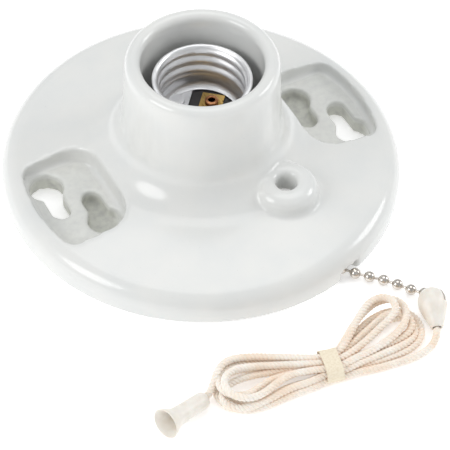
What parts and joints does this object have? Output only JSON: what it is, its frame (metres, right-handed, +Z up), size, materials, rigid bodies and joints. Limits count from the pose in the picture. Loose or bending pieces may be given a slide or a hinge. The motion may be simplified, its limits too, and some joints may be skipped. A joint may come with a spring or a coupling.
{
  "type": "pull-chain lampholder",
  "caption": "Glazed porcelain ceiling lampholder with screw-shell socket, round canopy with keyhole pads, chain outlet boss, pull-chain switch, bead chain and hanked cotton cord with knob.",
  "frame": {"origin": "centre of the canopy's back face, on the mounting plane", "axes": "+Z up the lamp socket's axis, away from the mounting plane; +X through the open mounting keyholes; +Y away from the cord"},
  "size_m": [0.1142, 0.1463, 0.0465],
  "materials": {
    "porcelain": "clear glaze over off-white body, unglazed pad floors",
    "aluminium": "drawn and rolled, bright",
    "phenolic": "moulded black phenolic",
    "brass": "stamped strip, slightly dulled",
    "brass_eyelet": "drawn hollow rivet",
    "zinc_steel": "zinc plated",
    "spring_steel": "music wire",
    "nickel": "nickel plated brass, bright",
    "cotton": "twisted natural cotton",
    "paper": "cream paper band",
    "ivory_plastic": "moulded, satin"
  },
  "bodies": {
    "root": {"porcelain_body": "porcelain", "screw_shell": "aluminium", "socket_base": "phenolic", "shell_rivets": "aluminium", "contact_eyelet": "brass_eyelet", "switch_housing": "phenolic", "switch_cover": "phenolic", "assembly_screws": "zinc_steel", "assembly_nuts": "zinc_steel", "return_spring": "spring_steel", "line_terminal": "brass", "neutral_terminal": "brass", "neutral_strap": "brass", "line_brush": "brass", "lamp_brush": "brass"},
    "contact_tongue": {"centre_contact": "brass"},
    "lever": {"pull_lever": "zinc_steel", "drive_pawl": "zinc_steel"},
    "rotor": {"rotor_shaft": "zinc_steel", "ratchet_wheel": "zinc_steel", "rotor_drum": "phenolic", "rotor_contact": "brass"},
    "line_screw": {"line_screw": "brass"},
    "neutral_screw": {"neutral_screw": "nickel"},
    "pull_cord": {"chain_beads": "nickel", "chain_links": "nickel", "cord_connector": "ivory_plastic", "cord_lead": "cotton", "cord_hank": "cotton", "cord_tie": "paper", "cord_tail": "cotton", "end_knot": "cotton", "pull_knob": "ivory_plastic"}
  },
  "joints": [
    {"name": "chain_pull", "type": "slide", "parent": "root", "child": "pull_cord", "axis": [0.5821, -0.8131, 0], "range_m": [0, 0.0084], "stiffness_N_per_m": 600, "springref_m": -0.008},
    {"name": "lever_swing", "type": "hinge", "parent": "root", "child": "lever", "pos_m": [0, 0, 0.004], "axis": [0, 0, 1], "range_deg": [0, 30]},
    {"name": "rotor_index", "type": "hinge", "parent": "root", "child": "rotor", "pos_m": [0, 0, 0.01], "axis": [0, 0, 1], "range_deg": [0, 30]},
    {"name": "contact_flex", "type": "hinge", "parent": "root", "child": "contact_tongue", "pos_m": [0.00473, 0.00315, 0.02385], "axis": [0.766, -0.6428, 0], "range_deg": [0, 5], "stiffness_Nm_per_rad": 0.3},
    {"name": "line_screw_travel", "type": "slide", "parent": "root", "child": "line_screw", "axis": [0, 0, -1], "range_m": [0, 0.002]},
    {"name": "neutral_screw_travel", "type": "slide", "parent": "root", "child": "neutral_screw", "axis": [0, 0, -1], "range_m": [0, 0.002]}
  ],
  "couplings": [
    {"joint": "lever_swing", "follows": "chain_pull", "rad_per_m": 62.31},
    {"joint": "rotor_index", "follows": "chain_pull", "rad_per_m": 62.31}
  ]
}
